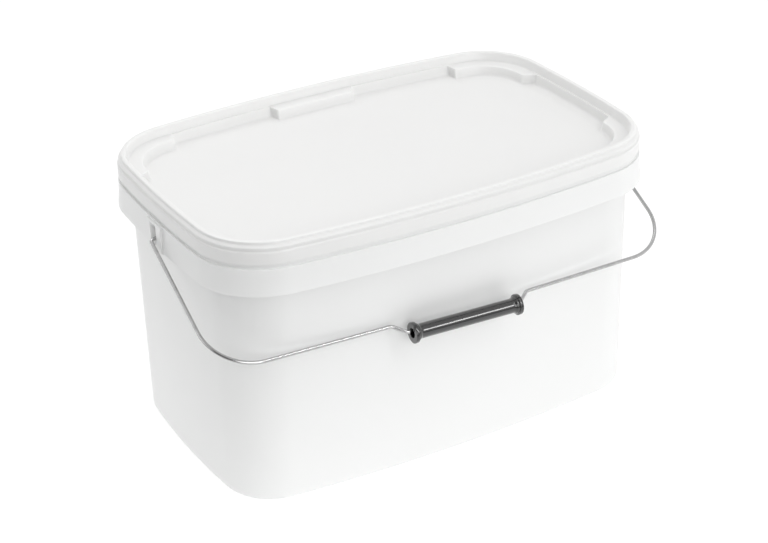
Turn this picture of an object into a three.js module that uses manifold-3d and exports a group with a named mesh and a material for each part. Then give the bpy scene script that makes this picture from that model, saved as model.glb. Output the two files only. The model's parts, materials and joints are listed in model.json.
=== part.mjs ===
// A rectangular plastic pail: a tub with a stiffening collar and two ears, a press-on lid, and a
// wire bail that carries a loose hand grip. Millimetres, +Z up. The origin is the middle of the
// tub's flat underside, +X runs along the long sides, and the bail hangs on the -Y side.
import * as THREE from 'three';
import { mergeVertices } from 'three/addons/utils/BufferGeometryUtils.js';
import Module from 'manifold-3d';

const wasm = await Module();
wasm.setup();

// ---- Driving dimensions ------------------------------------------------------------------

// A plan is a rounded rectangle whose sides bow outwards. A bow is how far the side's arc would
// fall back by the time it reaches the plan's full half length or half width.
const rimPlan = { halfLength: 195, halfWidth: 125.9, cornerRadius: 54.9, longBow: 14.1, shortBow: 6.7 };
const wallTopPlan = { halfLength: 190.5, halfWidth: 119.6, cornerRadius: 50.9, longBow: 12.6, shortBow: 9 };
const basePlan = { halfLength: 188.9, halfWidth: 114.9, cornerRadius: 43.8, longBow: 12.6, shortBow: 9 };

// Where the rings of every moulding have their points, measured from the middle of a side.
const shortSideStops = [0, 27, 53, 55, 61, 63];
const longSideStops = [0, 35.8, 37, 38.2, 85, 134.8, 136, 137.2];
const cornerSteps = 6;

// Tub heights
const floorThickness = 2.2;
const wallThickness = 2;
const baseFillet = 5;
const stepHeight = 206;
const collarBottom = 190.4;
const collarMiddle = 200;
const collarTop = 212.3;
const rimTop = 226.6;

// Tub widths, outwards from the rim plan
const rimOuter = 1.6;
const rimInner = -0.8;
const collarTopOuter = 3.7;
const collarMiddleOuter = 4.2;
const collarLipOuter = 5.45;
const collarThickness = 1.6;
const webOuter = -1.4;
const webThickness = 2;
const edgeChamfer = 0.6;

// Ears: a pad on each short side of the collar, with a deep channel and the bail's hole
const earFace = 201.3;
const earBack = 195.7;
const earHalfWidth = 13.5;
const earBottom = 189;
const earTop = 211.5;
const channelFloor = 197.5;
const channelHalfWidth = 5.5;
const holeRadius = 2.2;

// Lid heights
const lidCrest = 233.5;
const crestFoot = 231.4;
const shoulderFoot = 229.2;
const skirtTop = 225.2;
const skirtBottom = 216.3;
const ledgeHeight = 225.6;
const panelTop = 217.3;
const panelThickness = 1.5;
const lidSkin = 1.4;

// Lid widths, outwards from the rim plan
const lidGap = 0.4;
const skirtOuter = 3.5;
const neckOuter = 2.8;
const shoulderOuter = 1.5;
const crestInner = -4.2;
const ledgeOuter = -5.4;
const narrowLedgeInner = -6.8;
const blockLedgeInner = -17;
const crestRounding = 1.1;

// Blocks that widen the lid's ledge, in the middle of each long side and round each corner:
// the middle ones fade out between the first two values, the corner ones fade in.
const middleBlockFade = [37, 38.2];
const cornerBlockFadeOnLongSide = [134.8, 136];
const cornerBlockFadeOnShortSide = [53, 61];
const blockHollowInset = 1.2;

// Bail, in its own plane: each drop is measured down from the pivot
const pivotHeight = 198.5;
const hangAngle = THREE.MathUtils.degToRad(62);
const wireRadius = 1.5;
const tailOffset = 193.2;
const tailLength = 8;
const hookSlope = 0.23;
const hookRadius = 3;
const leftArmTop = -205;
const leftArmFoot = -206.4;
const rightArm = 203.4;
const shoulderRadius = 40;
const leftShoulderDrop = 130.2;
const rightShoulderDrop = 140.9;
const crankOuter = 60.3;
const crankInner = 50.5;
const crankRadius = 5;
const leftCrankDrop = 135.4;
const rightCrankDrop = 141;

// Grip, which hangs a little lower at its +X end
const gripTilt = THREE.MathUtils.degToRad(2.2);
const gripCentre = -1.2;
const gripAxisDrop = 148.1;
const wireAboveGripAxis = 1.8;
const gripHalfLength = 47.8;
const gripRadius = 6;
const gripBore = 4;
const neckRadius = 7;
const neckLength = 2;
const flangeRadius = 8.5;
const flangeThickness = 3;

// ---- Plan outlines -------------------------------------------------------------------------

/** Radius of the arc that falls back by bow over a half chord. */
function bowRadius(halfChord, bow) {
  return (halfChord * halfChord + bow * bow) / (2 * bow);
}

/** The crossing of two circles that lies to the left of the way from centre a to centre b. */
function circleCrossing(a, radiusA, b, radiusB) {
  const distance = a.distanceTo(b);
  const along = (radiusA * radiusA - radiusB * radiusB + distance * distance) / (2 * distance);
  const across = Math.sqrt(radiusA * radiusA - along * along);
  const forward = b.clone().sub(a).divideScalar(distance);
  const left = new THREE.Vector2(-forward.y, forward.x);
  return a.clone().addScaledVector(forward, along).addScaledVector(left, across);
}

/** A station is a point on a plan and the outward direction there. */
function stationAt(centre, radius, angle) {
  const normal = new THREE.Vector2(Math.cos(angle), Math.sin(angle));
  return { point: centre.clone().addScaledVector(normal, radius), normal };
}

/** Stations of one quarter of a plan, from the +X end round to the +Y side. */
function quarterStations({ halfLength, halfWidth, cornerRadius, longBow, shortBow }) {
  const shortRadius = bowRadius(halfWidth, shortBow);
  const longRadius = bowRadius(halfLength, longBow);
  const shortCentre = new THREE.Vector2(halfLength - shortRadius, 0);
  const longCentre = new THREE.Vector2(0, halfWidth - longRadius);
  const cornerCentre = circleCrossing(
    shortCentre, shortRadius - cornerRadius, longCentre, longRadius - cornerRadius);
  const cornerFrom = cornerCentre.clone().sub(shortCentre).angle();
  const cornerTo = cornerCentre.clone().sub(longCentre).angle();

  const stations = [];
  for (const stop of shortSideStops) {
    stations.push(stationAt(shortCentre, shortRadius, Math.asin(stop / shortRadius)));
  }
  for (let step = 0; step <= cornerSteps; step++) {
    const angle = THREE.MathUtils.lerp(cornerFrom, cornerTo, step / cornerSteps);
    stations.push(stationAt(cornerCentre, cornerRadius, angle));
  }
  for (const stop of [...longSideStops].reverse()) {
    stations.push(stationAt(longCentre, longRadius, Math.acos(stop / longRadius)));
  }
  return stations;
}

function mirrored({ point, normal }, flip) {
  return { point: point.clone().multiply(flip), normal: normal.clone().multiply(flip) };
}

/** Stations all the way round a plan, anticlockwise from the +X end. */
function planStations(plan) {
  const flipX = new THREE.Vector2(-1, 1);
  const flipY = new THREE.Vector2(1, -1);
  const quarter = quarterStations(plan);
  const secondQuarter = quarter.slice(0, -1).reverse().map((station) => mirrored(station, flipX));
  const half = [...quarter, ...secondQuarter];
  const otherHalf = half.slice(1, -1).reverse().map((station) => mirrored(station, flipY));
  return [...half, ...otherHalf];
}

const rimStations = planStations(rimPlan);
const wallTopStations = planStations(wallTopPlan);
const baseStations = planStations(basePlan);

/** The point that lies out from a station at a height. */
function pointOut({ point, normal }, out, height) {
  return new THREE.Vector3(point.x + normal.x * out, point.y + normal.y * out, height);
}

/** A ring at a distance outwards from the rim plan. */
function rimRing(out, height) {
  return rimStations.map((station) => pointOut(station, out, height));
}

/** A ring at a distance outwards from the tub's tapering wall. */
function wallRing(out, height) {
  return baseStations.map((base, i) => {
    const atBase = pointOut(base, out, height);
    const atTop = pointOut(wallTopStations[i], out, height);
    return atBase.lerp(atTop, height / stepHeight);
  });
}

// ---- Solids --------------------------------------------------------------------------------

/** A closed skin over rings that run from the middle of an underside to the middle of a top. */
function loft(rings) {
  const count = rings[0].length;
  const positions = rings.flat().flatMap((point) => point.toArray());
  const bottomCentre = rings.length * count;
  const topCentre = bottomCentre + 1;
  positions.push(0, 0, rings[0][0].z);
  positions.push(0, 0, rings.at(-1)[0].z);

  const indices = [];
  const lastRing = (rings.length - 1) * count;
  for (let i = 0; i < count; i++) {
    const next = (i + 1) % count;
    indices.push(bottomCentre, next, i);
    indices.push(topCentre, lastRing + i, lastRing + next);
    for (let ring = 0; ring < lastRing; ring += count) {
      indices.push(ring + i, ring + next, ring + count + next);
      indices.push(ring + i, ring + count + next, ring + count + i);
    }
  }
  const geometry = new THREE.BufferGeometry();
  geometry.setAttribute('position', new THREE.Float32BufferAttribute(positions, 3));
  geometry.setIndex(indices);
  return geometry;
}

function toSolid(geometry) {
  const bare = geometry.clone();
  bare.deleteAttribute('normal');
  bare.deleteAttribute('uv');
  const merged = mergeVertices(bare);
  return new wasm.Manifold(new wasm.Mesh({
    numProp: 3,
    vertProperties: merged.getAttribute('position').array,
    triVerts: Uint32Array.from(merged.index.array),
  }));
}

function toGeometry(solid) {
  const mesh = solid.getMesh();
  const geometry = new THREE.BufferGeometry();
  geometry.setAttribute('position', new THREE.BufferAttribute(mesh.vertProperties, 3));
  geometry.setIndex(new THREE.BufferAttribute(mesh.triVerts, 1));
  return geometry;
}

/** A box between two corners. */
function boxBetween(low, high) {
  const [x, y, z] = high.map((value, axis) => value - low[axis]);
  const box = new THREE.BoxGeometry(x, y, z);
  return box.translate(low[0] + x / 2, low[1] + y / 2, low[2] + z / 2);
}

function namedMesh(name, geometry, look) {
  geometry.computeVertexNormals();
  const mesh = new THREE.Mesh(geometry, new THREE.MeshStandardMaterial(look));
  mesh.name = name;
  return mesh;
}

// ---- Tub -----------------------------------------------------------------------------------

function tubShell() {
  const filletBulge = baseFillet * (1 - Math.SQRT1_2);
  const webBottom = collarTop - webThickness;
  return loft([
    // underside, base edge and outside of the wall
    wallRing(-baseFillet, 0),
    wallRing(-filletBulge, filletBulge),
    wallRing(0, baseFillet),
    wallRing(0, stepHeight),
    // under the web, down inside the collar, and up its outside
    rimRing(webOuter, webBottom),
    rimRing(collarTopOuter - collarThickness, webBottom),
    rimRing(collarMiddleOuter - collarThickness, collarMiddle),
    rimRing(collarLipOuter - collarThickness, collarBottom),
    rimRing(collarLipOuter, collarBottom),
    rimRing(collarMiddleOuter, collarMiddle),
    rimRing(collarTopOuter, collarTop - edgeChamfer),
    rimRing(collarTopOuter - edgeChamfer, collarTop),
    // groove, rim, and down the inside to the floor
    rimRing(rimOuter, collarTop),
    rimRing(rimOuter, rimTop - edgeChamfer),
    rimRing(rimOuter - edgeChamfer, rimTop),
    rimRing(rimInner + edgeChamfer, rimTop),
    rimRing(rimInner, rimTop - edgeChamfer),
    rimRing(rimInner, collarTop),
    wallRing(-wallThickness, stepHeight),
    wallRing(-wallThickness, floorThickness + baseFillet),
    wallRing(-wallThickness - filletBulge, floorThickness + filletBulge),
    wallRing(-wallThickness - baseFillet, floorThickness),
  ]);
}

/** The ear on one short side: side is 1 for +X and -1 for -X. */
function withEar(tub, side) {
  const webBottom = collarTop - webThickness;
  const beyond = 1;
  const acrossX = (near, far) => [Math.min(side * near, side * far), Math.max(side * near, side * far)];
  const [padLow, padHigh] = acrossX(earBack, earFace);
  const [cutLow, cutHigh] = acrossX(channelFloor, earFace + beyond);
  const pad = boxBetween([padLow, -earHalfWidth, earBottom], [padHigh, earHalfWidth, earTop]);
  const channel = boxBetween(
    [cutLow, -channelHalfWidth, earBottom - beyond], [cutHigh, channelHalfWidth, webBottom]);
  const hole = new THREE.CylinderGeometry(holeRadius, holeRadius, 2 * (earFace - earBack), 16);
  hole.rotateZ(Math.PI / 2);
  hole.translate(side * channelFloor, 0, pivotHeight);
  return tub.add(toSolid(pad)).subtract(toSolid(channel)).subtract(toSolid(hole));
}

function pailTub() {
  let tub = toSolid(tubShell());
  for (const side of [-1, 1]) tub = withEar(tub, side);
  const look = { color: 0xf2f3f2, roughness: 0.35, metalness: 0 };
  return namedMesh('pail_tub', toGeometry(tub), look);
}

// ---- Lid -----------------------------------------------------------------------------------

function ramp(value, [from, to]) {
  return THREE.MathUtils.clamp((value - from) / (to - from), 0, 1);
}

/** How much of the wide ledge a station has, for blocks whose ends are drawn in by an inset. */
function blockShare({ point, normal }, inset) {
  const along = (place, direction, fade) => ramp(Math.abs(place) - direction * inset, fade);
  if (Math.abs(normal.x) > Math.abs(normal.y)) {
    return along(point.y, 1, cornerBlockFadeOnShortSide);
  }
  const middle = 1 - along(point.x, -1, middleBlockFade);
  return middle + along(point.x, 1, cornerBlockFadeOnLongSide);
}

/** A ring inwards from the inner edge of the lid's ledge. */
function ledgeRing(inwards, height, inset = 0) {
  return rimStations.map((station) => {
    const share = blockShare(station, inset);
    const edge = THREE.MathUtils.lerp(narrowLedgeInner, blockLedgeInner, share);
    return pointOut(station, edge - inwards, height);
  });
}

function lid() {
  const panelBottom = panelTop - panelThickness;
  const ledgeUnderside = ledgeHeight - lidSkin;
  const hollowTop = lidCrest - lidSkin;
  const skirtInner = rimOuter + lidGap;
  const wallLean = 1;
  const panelFillet = 2.8;
  const bevel = 0.6;
  const geometry = loft([
    // underside of the panel, and of the stepped wall round it
    ledgeRing(wallLean + lidSkin, panelBottom, blockHollowInset),
    ledgeRing(wallLean - blockHollowInset, panelBottom + lidSkin, blockHollowInset),
    ledgeRing(-blockHollowInset, ledgeUnderside - bevel, blockHollowInset),
    rimRing(ledgeOuter + lidSkin, ledgeUnderside),
    rimRing(crestInner + lidSkin, hollowTop),
    // hollow over the rim, and the inside of the skirt
    rimRing(-lidSkin, hollowTop),
    rimRing(-lidSkin, crestFoot - lidSkin),
    rimRing(skirtInner, shoulderFoot - lidSkin),
    rimRing(skirtInner, skirtBottom),
    // outside of the skirt, its neck and shoulder, and the crest bead
    rimRing(skirtOuter - bevel, skirtBottom),
    rimRing(skirtOuter, skirtBottom + bevel),
    rimRing(skirtOuter, skirtTop),
    rimRing(neckOuter, skirtTop + 2 * bevel),
    rimRing(neckOuter, shoulderFoot),
    rimRing(shoulderOuter, (crestFoot + shoulderFoot) / 2 + bevel / 2),
    rimRing(0, crestFoot),
    rimRing(0, lidCrest - crestRounding),
    rimRing(-crestRounding, lidCrest),
    rimRing(crestInner + crestRounding, lidCrest),
    rimRing(crestInner, lidCrest - crestRounding),
    // down past the ledge to the panel
    rimRing(ledgeOuter, ledgeHeight),
    ledgeRing(0, ledgeHeight),
    ledgeRing(wallLean, panelTop + panelFillet / 2),
    ledgeRing(wallLean + panelFillet / 3, panelTop + panelFillet / 6),
    ledgeRing(wallLean + panelFillet, panelTop),
  ]);
  return namedMesh('lid', geometry, { color: 0xf0f1f0, roughness: 0.35, metalness: 0 });
}

// ---- Bail and grip -------------------------------------------------------------------------

/** Adds to a flat path a line to a corner and the bend of that radius that rounds it. */
function lineAndBend(path, corner, next, radius) {
  const before = path.currentPoint.clone().sub(corner).normalize();
  const after = next.clone().sub(corner).normalize();
  const halfAngle = Math.acos(before.dot(after)) / 2;
  const tangentLength = radius / Math.tan(halfAngle);
  const centre = corner.clone().addScaledVector(
    before.clone().add(after).normalize(), radius / Math.sin(halfAngle));
  const from = corner.clone().addScaledVector(before, tangentLength).sub(centre).angle();
  const to = corner.clone().addScaledVector(after, tangentLength).sub(centre).angle();
  const clockwise = before.cross(after) > 0;
  path.absarc(centre.x, centre.y, radius, from, to, clockwise);
}

/** A flat path stood up in the XZ plane, with as many steps in each bend as in each straight. */
class WirePath extends THREE.Curve {
  constructor(path) {
    super();
    this.pieces = path.curves;
  }

  getPoint(t) {
    const place = t * this.pieces.length;
    const index = Math.min(Math.floor(place), this.pieces.length - 1);
    const { x, y } = this.pieces[index].getPoint(place - index);
    return new THREE.Vector3(x, 0, y);
  }

  getPointAt(u) {
    return this.getPoint(u);
  }

  getTangentAt(u) {
    return this.getTangent(u);
  }
}

/** Drop of the hooked top of an arm, which slopes up into the middle of the ear's hole. */
function hookDrop(x) {
  const holeOffset = (earBack + channelFloor) / 2;
  return hookSlope * (Math.abs(x) - holeOffset);
}

/** Drop of the wire inside the grip, at a distance along +X from the grip's middle. */
function gripWireDrop(along) {
  return gripAxisDrop - wireAboveGripAxis / Math.cos(gripTilt) + along * Math.tan(gripTilt);
}

function bailWire() {
  const corners = [
    { x: -tailOffset, drop: tailLength },
    { x: -tailOffset, drop: hookDrop(tailOffset), radius: hookRadius },
    { x: leftArmTop, drop: hookDrop(leftArmTop), radius: hookRadius },
    { x: leftArmFoot, drop: leftShoulderDrop, radius: shoulderRadius },
    { x: gripCentre - crankOuter, drop: leftCrankDrop, radius: crankRadius },
    { x: gripCentre - crankInner, drop: gripWireDrop(-crankInner), radius: crankRadius },
    { x: gripCentre + crankInner, drop: gripWireDrop(crankInner), radius: crankRadius },
    { x: gripCentre + crankOuter, drop: rightCrankDrop, radius: crankRadius },
    { x: rightArm, drop: rightShoulderDrop, radius: shoulderRadius },
    { x: rightArm, drop: hookDrop(rightArm), radius: hookRadius },
    { x: tailOffset, drop: hookDrop(tailOffset), radius: hookRadius },
    { x: tailOffset, drop: tailLength },
  ].map(({ x, drop, radius }) => ({ at: new THREE.Vector2(x, -drop), radius }));
  const path = new THREE.Path();
  path.moveTo(corners[0].at.x, corners[0].at.y);
  for (let i = 1; i < corners.length - 1; i++) {
    lineAndBend(path, corners[i].at, corners[i + 1].at, corners[i].radius);
  }
  path.lineTo(corners.at(-1).at.x, corners.at(-1).at.y);

  const section = new THREE.Shape().absarc(0, 0, wireRadius, 0, 2 * Math.PI);
  const wirePath = new WirePath(path);
  const stepsInEachPiece = 5;
  const geometry = new THREE.ExtrudeGeometry(section, {
    curveSegments: 5,
    steps: stepsInEachPiece * wirePath.pieces.length,
    extrudePath: wirePath,
  });
  return namedMesh('bail_wire', geometry, { color: 0xa9adb0, roughness: 0.35, metalness: 1 });
}

function handGrip() {
  const innerFace = gripHalfLength - flangeThickness;
  const edge = 0.5;
  const half = [
    [gripRadius, innerFace - neckLength],
    [neckRadius, innerFace - neckLength / 2],
    [neckRadius, innerFace],
    [flangeRadius, innerFace + edge],
    [flangeRadius, gripHalfLength - edge],
    [flangeRadius - edge, gripHalfLength],
    [gripBore + edge, gripHalfLength],
    [gripBore, gripHalfLength - edge],
  ];
  const otherHalf = [...half].reverse().map(([radius, along]) => [radius, -along]);
  const profile = [...half, ...otherHalf, half[0]].map(([radius, along]) => {
    return new THREE.Vector2(radius, along);
  });
  const geometry = new THREE.LatheGeometry(profile, 24);
  geometry.rotateZ(Math.PI / 2);
  return namedMesh('hand_grip', geometry, { color: 0x1c1c1d, roughness: 0.25, metalness: 0 });
}

/** Wire and grip, hung from the ears. */
function bail() {
  const group = new THREE.Group();
  const grip = handGrip();
  grip.position.set(gripCentre, 0, -gripAxisDrop);
  grip.rotation.y = gripTilt;
  group.add(bailWire(), grip);
  group.position.z = pivotHeight;
  group.rotation.x = -hangAngle;
  return group;
}

// ---- Assembly ------------------------------------------------------------------------------

const pail = new THREE.Group();
pail.add(pailTub(), lid(), bail());

export default pail;
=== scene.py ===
"""A white rectangular pail with a press-on lid, a wire bail and a black hand grip."""
import json
import math

import bpy
import numpy as np
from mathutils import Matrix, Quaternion, Vector


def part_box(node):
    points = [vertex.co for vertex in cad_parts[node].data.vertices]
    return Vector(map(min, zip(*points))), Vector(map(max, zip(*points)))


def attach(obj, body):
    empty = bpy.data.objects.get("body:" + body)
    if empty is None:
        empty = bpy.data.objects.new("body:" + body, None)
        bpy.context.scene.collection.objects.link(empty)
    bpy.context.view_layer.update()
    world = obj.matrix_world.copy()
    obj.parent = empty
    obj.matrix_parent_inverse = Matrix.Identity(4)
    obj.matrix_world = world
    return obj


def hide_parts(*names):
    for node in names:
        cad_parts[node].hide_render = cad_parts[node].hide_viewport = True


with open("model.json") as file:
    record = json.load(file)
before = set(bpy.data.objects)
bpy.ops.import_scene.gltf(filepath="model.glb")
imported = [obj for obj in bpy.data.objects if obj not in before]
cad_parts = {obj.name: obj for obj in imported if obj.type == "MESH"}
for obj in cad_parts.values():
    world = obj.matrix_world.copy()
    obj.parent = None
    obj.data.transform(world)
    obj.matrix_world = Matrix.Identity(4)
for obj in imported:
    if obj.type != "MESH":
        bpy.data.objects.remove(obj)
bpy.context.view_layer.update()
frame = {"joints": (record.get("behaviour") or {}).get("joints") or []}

# ---- What the frame says ---------------------------------------------------------------------

MM = 0.001
_, tub_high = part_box("pail_tub")
_, lid_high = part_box("lid")
wire_low, wire_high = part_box("bail_wire")
joints = {joint["name"]: joint for joint in frame["joints"]}
pivot = Vector(joints["bail_swing"]["pos_m"])
grip_centre = Vector(joints["grip_spin"]["pos_m"])
grip_axis = Vector(joints["grip_spin"]["axis"]).normalized()
hang = Vector((0, *(grip_centre - pivot).yz)).normalized()

# ---- Driving dimensions, in millimetres --------------------------------------------------------

SKIRT_OUT = 3.5
LIP_OUT = 5.45
HALF_LENGTH = lid_high.x / MM - SKIRT_OUT
HALF_WIDTH = lid_high.y / MM - SKIRT_OUT
# Plans: half length, half width, corner radius, bow of the long sides, bow of the short sides
RIM_PLAN = (HALF_LENGTH, HALF_WIDTH, 54.9, 14.1, 6.7)
WALL_TOP_PLAN = (HALF_LENGTH - 4.5, HALF_WIDTH - 6.3, 50.9, 12.6, 9)
BASE_PLAN = (HALF_LENGTH - 6.1, HALF_WIDTH - 11, 43.8, 12.6, 9)

CREST = lid_high.z / MM
LEDGE = CREST - 7.9
PANEL_TOP = CREST - 16.2
SKIRT_BOTTOM = CREST - 17.2
RIM_TOP = tub_high.z / MM
COLLAR_TOP = RIM_TOP - 14.3
COLLAR_MIDDLE = RIM_TOP - 26.6
COLLAR_BOTTOM = RIM_TOP - 36.2
WEB = COLLAR_TOP - 2
STEP = RIM_TOP - 20.6
WALL = 2.0

# Places where the lid's wide ledge blocks fade out or in, from the middle of a side
MIDDLE_BLOCK_FADE = (36.2, 39.4)
CORNER_BLOCK_FADE_ON_LONG_SIDE = (133.6, 136.8)
CORNER_BLOCK_FADE_ON_SHORT_SIDE = (53, 61)

EAR_FACE = tub_high.x / MM
EAR_BACK = EAR_FACE - 5.6
CHANNEL_FLOOR = EAR_FACE - 3.8
EAR_HALF_WIDTH = 13.5
CHANNEL_HALF_WIDTH = 5.5
EAR_BOTTOM = COLLAR_BOTTOM - 1.4
EAR_TOP = COLLAR_TOP - 0.8
HOLE_RADIUS = 2.2

WIRE_RADIUS = 1.5
WIRE_END_RADIUS = 1.125
HOOK_SLOPE = 0.23
# The bends of the bail: places along X from its ends or the grip's middle, and drops from the pivot
TAIL_OFFSET = 193.2
TAIL_LENGTH = 8
LEFT_ARM_LEAN = 1.4
CRANK_OUTER = 60.3
CRANK_INNER = 50.5
LEFT_SHOULDER_DROP = 130.2
RIGHT_SHOULDER_DROP = 140.9
LEFT_CRANK_DROP = 135.4
RIGHT_CRANK_DROP = 141
HOOK_RADIUS = 3
SHOULDER_RADIUS = 40
CRANK_RADIUS = 5

GRIP_HALF_LENGTH = 47.8
GRIP_RADIUS = 6.0
WIRE_ABOVE_GRIP_AXIS = 1.8


# ---- Plan outlines -----------------------------------------------------------------------------

def bow_radius(half_chord, bow):
    """Radius of the arc that falls back by bow over a half chord."""
    return (half_chord ** 2 + bow ** 2) / (2 * bow)


def corner_centre(short_centre, short_radius, long_centre, long_radius):
    """The crossing of two circles, on the side of the +X +Y corner."""
    across = long_centre - short_centre
    distance = np.hypot(*across)
    forward = across / distance
    left = np.array([-forward[1], forward[0]])
    along = (short_radius ** 2 - long_radius ** 2 + distance ** 2) / (2 * distance)
    aside = math.sqrt(short_radius ** 2 - along ** 2)
    return short_centre + forward * along + left * aside


def arc(centre, radius, angles):
    """Points of an arc, and the outward direction at each."""
    normals = np.stack([np.cos(angles), np.sin(angles)], axis=1)
    return centre + normals * radius, normals


def runs(*spans):
    """Stops at even steps over several spans, each (start, stop, count)."""
    return np.concatenate([np.linspace(*span) for span in spans])


SHORT_STOPS = runs((0, 16, 17), (18, 51, 12), (52, 65, 14))
CORNER_STOPS = 30
LONG_STOPS = runs((138.5, 133, 12), (130, 42, 23), (40, 35, 11), (32, 0, 8))


def plan_stations(half_length, half_width, radius, long_bow, short_bow):
    """Points and outward directions round a rounded rectangle with bowed sides, from the +X end."""
    short_radius = bow_radius(half_width, short_bow)
    long_radius = bow_radius(half_length, long_bow)
    short_centre = np.array([half_length - short_radius, 0.0])
    long_centre = np.array([0.0, half_width - long_radius])
    centre = corner_centre(short_centre, short_radius - radius, long_centre, long_radius - radius)
    start = math.atan2(*(centre - short_centre)[::-1])
    stop = math.atan2(*(centre - long_centre)[::-1])
    arcs = [
        arc(short_centre, short_radius, np.arcsin(SHORT_STOPS / short_radius)),
        arc(centre, radius, np.linspace(start, stop, CORNER_STOPS)),
        arc(long_centre, long_radius, np.arccos(LONG_STOPS / long_radius)),
    ]
    points = np.concatenate([points for points, _ in arcs])
    normals = np.concatenate([normals for _, normals in arcs])
    # Mirror the quarter into a half and the half into a whole, without repeating a shared point
    for flip, last in (((-1, 1), None), ((1, -1), 0)):
        backwards = slice(-2, last, -1)
        points = np.concatenate([points, points[backwards] * flip])
        normals = np.concatenate([normals, normals[backwards] * flip])
    return points, normals


RIM = plan_stations(*RIM_PLAN)
WALL_TOP = plan_stations(*WALL_TOP_PLAN)
BASE = plan_stations(*BASE_PLAN)


def smooth_step(value, start, stop):
    t = np.clip((value - start) / (stop - start), 0, 1)
    return t * t * (3 - 2 * t)


def block_share():
    """1 where the lid's ledge is wide, 0 where it is narrow, for each station."""
    points, normals = RIM
    along_long, along_short = np.abs(points).T
    on_short = np.abs(normals[:, 0]) > np.abs(normals[:, 1])
    middle = 1 - smooth_step(along_long, *MIDDLE_BLOCK_FADE)
    long_end = smooth_step(along_long, *CORNER_BLOCK_FADE_ON_LONG_SIDE)
    short_end = smooth_step(along_short, *CORNER_BLOCK_FADE_ON_SHORT_SIDE)
    return np.where(on_short, short_end, middle + long_end)


BLOCK = block_share()


# ---- Lofted mouldings --------------------------------------------------------------------------

def point(out, height, soft=0.0, wall=0.0, block=0.0):
    """A corner of a section, in millimetres out from the plan and up.

    soft is the length of its rounding, wall the share of the wall's plan in it rather than the
    rim's, and block how far it moves out where the lid's ledge is wide.
    """
    return np.array([out, height, soft, wall, block], float)


def rounded(corners, steps=5):
    """The section with each corner rounded over its own soft length."""
    section = [corners[0]]
    for before, corner, after in zip(corners, corners[1:], corners[2:]):
        soft = corner[2]
        if soft == 0:
            section.append(corner)
            continue
        reach = []
        for other in (before, after):
            length = np.hypot(*(other - corner)[:2])
            reach.append(corner + (other - corner) * min(soft / length, 0.48))
        for t in np.linspace(0, 1, steps + 1):
            section.append((1 - t) ** 2 * reach[0] + 2 * t * (1 - t) * corner + t * t * reach[1])
    section.append(corners[-1])
    return section


def ring(out, height, _, wall, block):
    """World points of one ring of a moulding."""
    on_rim = RIM[0] + RIM[1] * (out + BLOCK * block)[:, None]
    rise = np.clip(height / STEP, 0, 1)
    on_wall = (BASE[0] + BASE[1] * out) * (1 - rise) + (WALL_TOP[0] + WALL_TOP[1] * out) * rise
    flat = on_rim * (1 - wall) + on_wall * wall
    return np.column_stack([flat, np.full(len(flat), height)]) * MM


def make_object(name, vertices, faces):
    mesh = bpy.data.meshes.new(name)
    mesh.from_pydata([tuple(v) for v in vertices], [], faces)
    mesh.validate()
    mesh.shade_smooth()
    piece = bpy.data.objects.new(name, mesh)
    bpy.context.scene.collection.objects.link(piece)
    return piece


def skin(rings, closed_tube=False):
    """Faces between neighbouring rings, which go anticlockwise seen from their far end."""
    count = len(rings[0])
    faces = []
    last = len(rings) if closed_tube else len(rings) - 1
    for i in range(last):
        low, high = i * count, (i + 1) % len(rings) * count
        for j in range(count):
            k = (j + 1) % count
            faces.append((low + j, low + k, high + k, high + j))
    return faces


def loft(name, section):
    """A moulding skinned over a section from the middle of its underside to the middle of its top."""
    rings = [ring(*entry) for entry in section]
    count = len(rings[0])
    vertices = np.concatenate(rings)
    faces = skin(rings)
    faces.append(tuple(reversed(range(count))))
    faces.append(tuple(range(len(vertices) - count, len(vertices))))
    return make_object(name, vertices, faces)


def tub_section():
    return rounded([
        point(-17, 0, wall=1),
        point(-16.2, 0.9, 0.5, wall=1),
        point(-12.8, 0.9, 0.5, wall=1),
        point(-12, 0, 0.4, wall=1),
        point(0, 0, 5, wall=1),
        point(0, STEP, 1.5, wall=1),
        point(-1.4, WEB, 1.2),
        point(2.1, WEB, 0.6),
        point(2.6, COLLAR_MIDDLE, 3),
        point(LIP_OUT - 1.5, COLLAR_BOTTOM, 0.3),
        point(LIP_OUT, COLLAR_BOTTOM, 0.45),
        point(LIP_OUT - 0.1, COLLAR_BOTTOM + 1.5, 0.6),
        point(4.2, COLLAR_MIDDLE, 6),
        point(3.7, COLLAR_TOP, 0.5),
        point(1.6, COLLAR_TOP, 0.5),
        point(1.6, RIM_TOP, 0.8),
        point(-0.8, RIM_TOP, 0.8),
        point(-0.8, COLLAR_TOP, 2),
        point(-WALL, STEP, 3, wall=1),
        point(-WALL, 2.2, 5.5, wall=1),
        point(-20, 2.2, wall=1),
    ])


def lid_section():
    thickness = 1.4
    widening = -10.2
    panel_bottom = PANEL_TOP - 1.5
    return rounded([
        point(-26, panel_bottom, block=widening),
        point(-7, panel_bottom, 1.4, block=widening),
        point(-5.6, LEDGE - thickness, 0.5, block=widening),
        point(-4.1, LEDGE - thickness, 0.5),
        point(-2.8, CREST - thickness, 0.6),
        point(-1.4, CREST - thickness, 0.6),
        point(-1.4, CREST - 3.5, 0.6),
        point(2, CREST - 5.6, 0.6),
        point(2, SKIRT_BOTTOM, 0.3),
        point(SKIRT_OUT - 0.05, SKIRT_BOTTOM, 0.45),
        point(SKIRT_OUT, CREST - 7.6, 1.2),
        point(2.4, CREST - 6.8, 0.7),
        point(2.5, CREST - 4, 0.9),
        point(0.1, CREST - 2.3, 0.7),
        point(-0.05, CREST, 1.3),
        point(-4.1, CREST, 1.2),
        point(-5.4, LEDGE, 0.5),
        point(-6.8, LEDGE, 0.45, block=widening),
        point(-8, PANEL_TOP, 2.4, block=widening),
        point(-26, PANEL_TOP, block=widening),
    ])


# ---- Ears --------------------------------------------------------------------------------------

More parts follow.
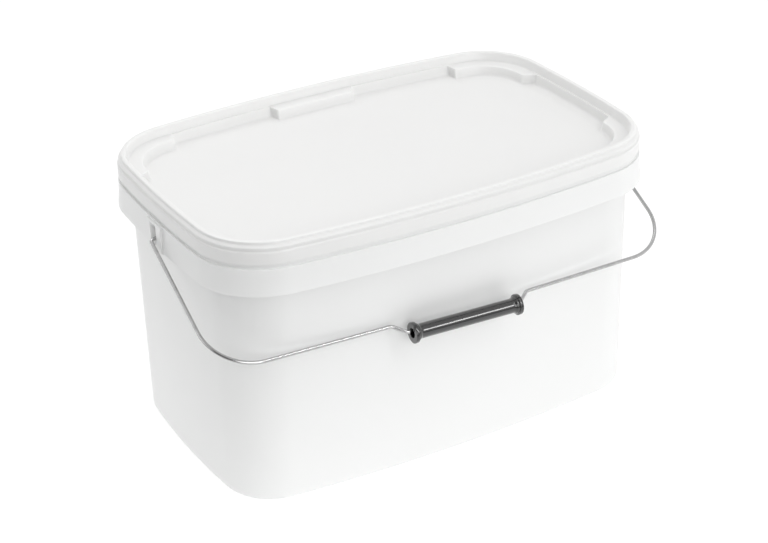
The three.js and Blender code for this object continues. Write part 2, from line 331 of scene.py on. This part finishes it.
def solid_object(name, lower, upper):
    """A closed solid between two outlines, both anticlockwise seen from the upper one."""
    count = len(lower)
    faces = skin([lower, upper])
    faces.append(tuple(reversed(range(count))))
    faces.append(tuple(range(count, 2 * count)))
    return make_object(name, [*lower, *upper], faces)


def rounded_outline(half_width, low, high, radius, steps=6):
    """(y, z) points of a rounded rectangle, anticlockwise seen from +X."""
    outline = []
    centres = [
        (half_width - radius, high - radius),
        (radius - half_width, high - radius),
        (radius - half_width, low + radius),
        (half_width - radius, low + radius),
    ]
    for quarter, (y, z) in enumerate(centres):
        for angle in np.linspace(quarter, quarter + 1, steps) * math.pi / 2:
            outline.append((y + radius * math.cos(angle), z + radius * math.sin(angle)))
    return outline


def slab(name, side, near, far, near_outline, far_outline):
    """A solid standing out from a short side between two distances, in millimetres."""
    lower = [Vector((side * near, side * y, z)) * MM for y, z in near_outline]
    upper = [Vector((side * far, side * y, z)) * MM for y, z in far_outline]
    return solid_object(name, lower, upper)


def combine(piece, tool, operation):
    """Replaces the piece's mesh by its union with, or its difference from, the tool."""
    step = piece.modifiers.new("combine", "BOOLEAN")
    step.operation = operation
    step.object = tool
    step.solver = "EXACT"
    evaluated = piece.evaluated_get(bpy.context.evaluated_depsgraph_get())
    combined = bpy.data.meshes.new_from_object(evaluated)
    piece.modifiers.remove(step)
    piece.data = combined
    bpy.data.objects.remove(tool)


def add_ear(tub, side):
    """A pad with bevelled edges, a deep upright channel in it, and the hole for the wire."""
    bevel = 0.5
    radius = 1.6
    foot = rounded_outline(EAR_HALF_WIDTH, EAR_BOTTOM, EAR_TOP, radius)
    face = rounded_outline(EAR_HALF_WIDTH - bevel, EAR_BOTTOM + bevel, EAR_TOP - bevel, radius - bevel)
    combine(tub, slab("pad", side, EAR_BACK, EAR_FACE - bevel, foot, foot), "UNION")
    combine(tub, slab("bevel", side, EAR_FACE - bevel, EAR_FACE, foot, face), "UNION")
    floor = rounded_outline(CHANNEL_HALF_WIDTH - 0.4, EAR_BOTTOM - 4, WEB, 1)
    mouth = rounded_outline(CHANNEL_HALF_WIDTH, EAR_BOTTOM - 4, WEB + 0.4, 1)
    combine(tub, slab("channel", side, CHANNEL_FLOOR, EAR_FACE + 1, floor, mouth), "DIFFERENCE")
    pivot_height = pivot.z / MM
    hole = rounded_outline(
        HOLE_RADIUS, pivot_height - HOLE_RADIUS, pivot_height + HOLE_RADIUS, HOLE_RADIUS, steps=9)
    combine(tub, slab("hole", side, EAR_BACK - 2, CHANNEL_FLOOR + 1, hole, hole), "DIFFERENCE")


def tub_moulding():
    tub = loft("tub", tub_section())
    for side in (-1, 1):
        add_ear(tub, side)
    tub.data.shade_smooth()
    tub.data.set_sharp_from_angle(angle=math.radians(35))
    return tub


# ---- Materials ---------------------------------------------------------------------------------

def node(tree, kind, **settings):
    made = tree.nodes.new(kind)
    for name, value in settings.items():
        setattr(made, name, value)
    return made


def new_material(name):
    material = bpy.data.materials.new(name)
    material.use_nodes = True
    tree = material.node_tree
    return material, tree, tree.nodes["Principled BSDF"]


def noise(tree, coordinates, scale, stretch=(1, 1, 1), detail=3.0):
    """A noise value over stretched object coordinates."""
    mapping = node(tree, "ShaderNodeMapping")
    mapping.inputs["Scale"].default_value = stretch
    texture = node(tree, "ShaderNodeTexNoise")
    texture.inputs["Scale"].default_value = scale
    texture.inputs["Detail"].default_value = detail
    tree.links.new(coordinates, mapping.inputs["Vector"])
    tree.links.new(mapping.outputs["Vector"], texture.inputs["Vector"])
    return texture.outputs["Fac"]


def ramp(tree, value, low, high):
    """Spreads a 0 to 1 value over a range, or over two colours."""
    made = node(tree, "ShaderNodeValToRGB")
    made.color_ramp.elements[0].color = low
    made.color_ramp.elements[1].color = high
    tree.links.new(value, made.inputs["Fac"])
    return made.outputs["Color"]


def bump(tree, shader, heights):
    """Chains bumps, each a height value with its strength and depth in metres."""
    normal = None
    for value, strength, depth in heights:
        made = node(tree, "ShaderNodeBump")
        made.inputs["Strength"].default_value = strength
        made.inputs["Distance"].default_value = depth
        tree.links.new(value, made.inputs["Height"])
        if normal is not None:
            tree.links.new(normal, made.inputs["Normal"])
        normal = made.outputs["Normal"]
    tree.links.new(normal, shader.inputs["Normal"])


def grey(value):
    return (value, value, value, 1)


def moulded_white(name, tint, streak):
    """Satin white polypropylene: slight haze in the colour, streaks in the gloss, soft orange peel."""
    material, tree, shader = new_material(name)
    place = node(tree, "ShaderNodeTexCoord").outputs["Object"]
    haze = noise(tree, place, 9, detail=4)
    lines = noise(tree, place, 60, stretch=streak, detail=2)
    peel = noise(tree, place, 420, detail=2)
    dark = tuple(0.975 * channel for channel in tint)
    tree.links.new(ramp(tree, haze, (*dark, 1), (*tint, 1)), shader.inputs["Base Color"])
    tree.links.new(ramp(tree, lines, grey(0.30), grey(0.38)), shader.inputs["Roughness"])
    bump(tree, shader, [(peel, 0.12, 0.0002), (lines, 0.05, 0.0004)])
    shader.inputs["IOR"].default_value = 1.49
    shader.inputs["Subsurface Weight"].default_value = 0.25
    shader.inputs["Subsurface Radius"].default_value = (1.0, 1.0, 1.0)
    shader.inputs["Subsurface Scale"].default_value = 0.004
    return material


def galvanised(name):
    """Bright galvanised wire: drawn lines along it and cloudy zinc."""
    material, tree, shader = new_material(name)
    place = node(tree, "ShaderNodeTexCoord").outputs["Object"]
    clouds = noise(tree, place, 220, detail=5)
    drawn = noise(tree, place, 900, stretch=(0.06, 1, 1), detail=2)
    tree.links.new(ramp(tree, clouds, grey(0.42), grey(0.62)), shader.inputs["Base Color"])
    tree.links.new(ramp(tree, drawn, grey(0.12), grey(0.24)), shader.inputs["Roughness"])
    bump(tree, shader, [(drawn, 0.15, 0.00005), (clouds, 0.2, 0.00008)])
    shader.inputs["Metallic"].default_value = 1
    return material


def glossy_black(name):
    """Glossy black polypropylene with faint handling scratches."""
    material, tree, shader = new_material(name)
    place = node(tree, "ShaderNodeTexCoord").outputs["Object"]
    swirl = noise(tree, place, 60, detail=4)
    scratches = noise(tree, place, 500, stretch=(0.05, 1, 1), detail=3)
    tree.links.new(ramp(tree, swirl, grey(0.004), grey(0.009)), shader.inputs["Base Color"])
    tree.links.new(ramp(tree, scratches, grey(0.09), grey(0.15)), shader.inputs["Roughness"])
    bump(tree, shader, [(scratches, 0.06, 0.0001), (swirl, 0.05, 0.0004)])
    shader.inputs["IOR"].default_value = 1.6
    shader.inputs["Coat Weight"].default_value = 1
    shader.inputs["Coat Roughness"].default_value = 0.06
    return material


# ---- Bail and grip -----------------------------------------------------------------------------

def unit(vector):
    return vector / np.hypot(*vector)


def bent_path(corners, step=math.radians(3)):
    """Points along a flat path whose corners (position, bend radius) are rounded by arcs."""
    path = [corners[0][0]]
    for (before, _), (corner, radius), (after, _) in zip(corners, corners[1:], corners[2:]):
        back, ahead = unit(before - corner), unit(after - corner)
        half_angle = math.acos(np.dot(back, ahead)) / 2
        centre = corner + unit(back + ahead) * radius / math.sin(half_angle)
        start = corner + back * radius / math.tan(half_angle) - centre
        turn = math.pi - 2 * half_angle
        side = np.sign(back[0] * ahead[1] - back[1] * ahead[0])
        for angle in np.linspace(0, -side * turn, max(4, round(turn / step))):
            c, s = math.cos(angle), math.sin(angle)
            path.append(centre + (start[0] * c - start[1] * s, start[0] * s + start[1] * c))
    path.append(corners[-1][0])
    return np.array(path)


def spaced(path, spacing):
    """The path with points added so that no step is longer than the spacing."""
    points = [path[0]]
    for start, stop in zip(path, path[1:]):
        count = max(1, math.ceil(np.hypot(*(stop - start)) / spacing))
        points += [start + (stop - start) * k / count for k in range(1, count + 1)]
    return np.array(points)


def hook_drop(x):
    """Drop of the hooked top of an arm, which slopes up into the middle of the ear's hole."""
    return HOOK_SLOPE * (abs(x) - (EAR_BACK + CHANNEL_FLOOR) / 2)


def grip_wire_drop(along):
    """Drop of the wire inside the grip that hangs on it, at a distance from the grip's middle."""
    fall = (grip_centre - pivot).dot(hang) / MM
    slope = grip_axis.dot(hang) / grip_axis.x
    return fall - WIRE_ABOVE_GRIP_AXIS + along * slope


def wire_corners():
    """The bail from tail to tail: (x, drop from the pivot) and the radius of the bend there."""
    left_foot = wire_low.x / MM + WIRE_RADIUS
    left_top = left_foot + LEFT_ARM_LEAN
    right = wire_high.x / MM - WIRE_RADIUS
    middle = grip_centre.x / MM
    corners = [
        (-TAIL_OFFSET, TAIL_LENGTH, 0),
        (-TAIL_OFFSET, hook_drop(TAIL_OFFSET), HOOK_RADIUS),
        (left_top, hook_drop(left_top), HOOK_RADIUS),
        (left_foot, LEFT_SHOULDER_DROP, SHOULDER_RADIUS),
        (middle - CRANK_OUTER, LEFT_CRANK_DROP, CRANK_RADIUS),
        (middle - CRANK_INNER, grip_wire_drop(-CRANK_INNER), CRANK_RADIUS),
        (middle + CRANK_INNER, grip_wire_drop(CRANK_INNER), CRANK_RADIUS),
        (middle + CRANK_OUTER, RIGHT_CRANK_DROP, CRANK_RADIUS),
        (right, RIGHT_SHOULDER_DROP, SHOULDER_RADIUS),
        (right, hook_drop(right), HOOK_RADIUS),
        (TAIL_OFFSET, hook_drop(TAIL_OFFSET), HOOK_RADIUS),
        (TAIL_OFFSET, TAIL_LENGTH, 0),
    ]
    return [(np.array([x, drop]), radius) for x, drop, radius in corners]


def bail_wire():
    path = spaced(bent_path(wire_corners()), 4)
    tangents = np.gradient(path, axis=0)
    tangents /= np.hypot(*tangents.T)[:, None]
    sides = 20
    angles = np.arange(sides) * 2 * math.pi / sides
    rings = []
    aside = hang.cross(Vector((1, 0, 0)))
    ends = (0, len(path) - 1)
    for i, ((x, drop), (tx, td)) in enumerate(zip(path, tangents)):
        centre = pivot + (Vector((x, 0, 0)) + hang * drop) * MM
        across = Vector((-td, 0, 0)) + hang * tx
        radius = (WIRE_END_RADIUS if i in ends else WIRE_RADIUS) * MM
        rings.append([centre + (across * math.cos(a) - aside * math.sin(a)) * radius for a in angles])
    faces = skin(rings)
    count = len(path) * sides
    faces.append(tuple(reversed(range(sides))))
    faces.append(tuple(range(count - sides, count)))
    return make_object("wire", [v for r in rings for v in r], faces)


def grip_profile():
    """The closed half section of the grip, as points at a radius and a distance from its middle."""
    half = GRIP_HALF_LENGTH
    flange, neck, bore = 8.49, 7.0, 4.0
    end = [
        (GRIP_RADIUS, half - 6, 1.5),
        (neck, half - 4.6, 0.7),
        (neck, half - 3, 0.5),
        (flange, half - 3, 0.6),
        (flange, half, 0.6),
        (bore, half, 0.5),
    ]
    corners = [point(radius, along, soft) for radius, along, soft in end]
    mirror = [point(radius, -along, soft) for radius, along, soft in reversed(end)]
    middle = point(GRIP_RADIUS, 0)
    bore_middle = point(bore, 0)
    return rounded([middle, *corners, bore_middle, *mirror, middle], steps=4)[:-1]


def hand_grip():
    sides = 64
    angles = np.arange(sides) * 2 * math.pi / sides
    up = grip_axis.orthogonal().normalized()
    aside = grip_axis.cross(up)
    rings = []
    for radius, along, *_ in grip_profile():
        centre = grip_centre + grip_axis * along * MM
        rings.append([centre + (up * math.cos(a) + aside * math.sin(a)) * radius * MM for a in angles])
    faces = skin(rings, closed_tube=True)
    return make_object("grip", [v for r in rings for v in r], faces)


# ---- Camera, light and stage -------------------------------------------------------------------

def add_camera():
    azimuth, elevation, roll = (math.radians(angle) for angle in (-29.3, 28.38, -1.62))
    target = Vector((0.00023, -0.00013, 0.1104))
    distance = 1.6165
    back = Vector((
        math.sin(azimuth) * math.cos(elevation),
        -math.cos(azimuth) * math.cos(elevation),
        math.sin(elevation),
    ))
    camera = bpy.data.objects.new("camera", bpy.data.cameras.new("camera"))
    camera.data.lens = 91.0
    camera.data.sensor_width = 36
    camera.location = target + back * distance
    camera.rotation_mode = "QUATERNION"
    camera.rotation_quaternion = (-back).to_track_quat("-Z", "Y") @ Quaternion((0, 0, 1), roll)
    bpy.context.scene.collection.objects.link(camera)
    bpy.context.scene.camera = camera


def soft_light(azimuth, elevation, power, size=(1.4, 1.4), distance=2.4):
    """A soft box aimed at the pail, from an azimuth and elevation in degrees."""
    a, e = math.radians(azimuth), math.radians(elevation)
    direction = Vector((math.sin(a) * math.cos(e), -math.cos(a) * math.cos(e), math.sin(e)))
    light = bpy.data.lights.new("soft_box", "AREA")
    light.shape = "RECTANGLE"
    light.size, light.size_y = size
    light.energy = power
    lamp = bpy.data.objects.new("soft_box", light)
    lamp.location = Vector((0, 0, 0.1)) + direction * distance
    lamp.rotation_mode = "QUATERNION"
    lamp.rotation_quaternion = (-direction).to_track_quat("-Z", "Y")
    bpy.context.scene.collection.objects.link(lamp)


def towards(tree, vector, direction, near, far, low, high):
    """A value that goes smoothly from low to high as a vector reaches further in a direction."""
    reach = node(tree, "ShaderNodeVectorMath", operation="DOT_PRODUCT")
    reach.inputs[1].default_value = direction
    tree.links.new(vector, reach.inputs[0])
    spread = node(tree, "ShaderNodeMapRange", interpolation_type="SMOOTHSTEP")
    for name, value in (("From Min", near), ("From Max", far), ("To Min", low), ("To Max", high)):
        spread.inputs[name].default_value = value
    tree.links.new(reach.outputs["Value"], spread.inputs["Value"])
    return spread.outputs["Result"]


def add_stage():
    """A white floor that glows like a light table and fades out at the front left."""
    half = 12.0
    corners = [(-half, -half, 0), (half, -half, 0), (half, half, 0), (-half, half, 0)]
    floor = make_object("floor", corners, [(0, 1, 2, 3)])
    material, tree, shader = new_material("floor_white")
    place = node(tree, "ShaderNodeTexCoord").outputs["Object"]
    patches = noise(tree, place, 3)
    tree.links.new(ramp(tree, patches, grey(0.28), grey(0.30)), shader.inputs["Base Color"])
    shader.inputs["Roughness"].default_value = 0.9
    shader.inputs["Specular IOR Level"].default_value = 0.1
    shader.inputs["Emission Color"].default_value = grey(1)
    glow = towards(tree, place, (-0.6, -0.8, 0), 0.32, 0.5, 0.78, 0)
    tree.links.new(glow, shader.inputs["Emission Strength"])
    floor.data.materials.append(material)


def add_light():
    """Soft boxes in front, behind and on the left, a strip on the right, and a pale sky.

    The sky is darker at the front left, which gives the wire and the grip their dark reflections.
    """
    world = bpy.data.worlds.new("studio")
    bpy.context.scene.world = world
    world.use_nodes = True
    tree = world.node_tree
    sky = tree.nodes["Background"]
    sky.inputs["Color"].default_value = (1, 1, 1, 1)
    direction = node(tree, "ShaderNodeTexCoord").outputs["Generated"]
    strength = towards(tree, direction, (-0.62, -0.66, 0.42), 0.55, 0.95, 0.84, 0.15)
    tree.links.new(strength, sky.inputs["Strength"])
    soft_light(-8, 20, 19)
    soft_light(180, 60, 11)
    soft_light(27, 43, 8, size=(0.12, 2.2))
    soft_light(-82, 30, 4.5)
    bpy.context.scene.view_settings.view_transform = "Standard"


# ---- Assembly ----------------------------------------------------------------------------------

add_camera()
add_light()
add_stage()

tub_white = moulded_white("tub_white", (0.845, 0.85, 0.845), (1, 1, 0.03))
lid_white = moulded_white("lid_white", (0.845, 0.845, 0.838), (1, 1, 1))
PIECES = [
    (tub_moulding(), "pail", "pail_tub", "tub_plastic", tub_white),
    (loft("lid_moulding", lid_section()), "lid", "lid", "lid_plastic", lid_white),
    (bail_wire(), "bail", "bail_wire", "galvanised_wire", galvanised("wire_zinc")),
    (hand_grip(), "grip", "hand_grip", "grip_plastic", glossy_black("grip_black")),
]
for piece, body, cad_node, slot, material in PIECES:
    piece.data.materials.append(material)
    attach(piece, body)
    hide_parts(cad_node)
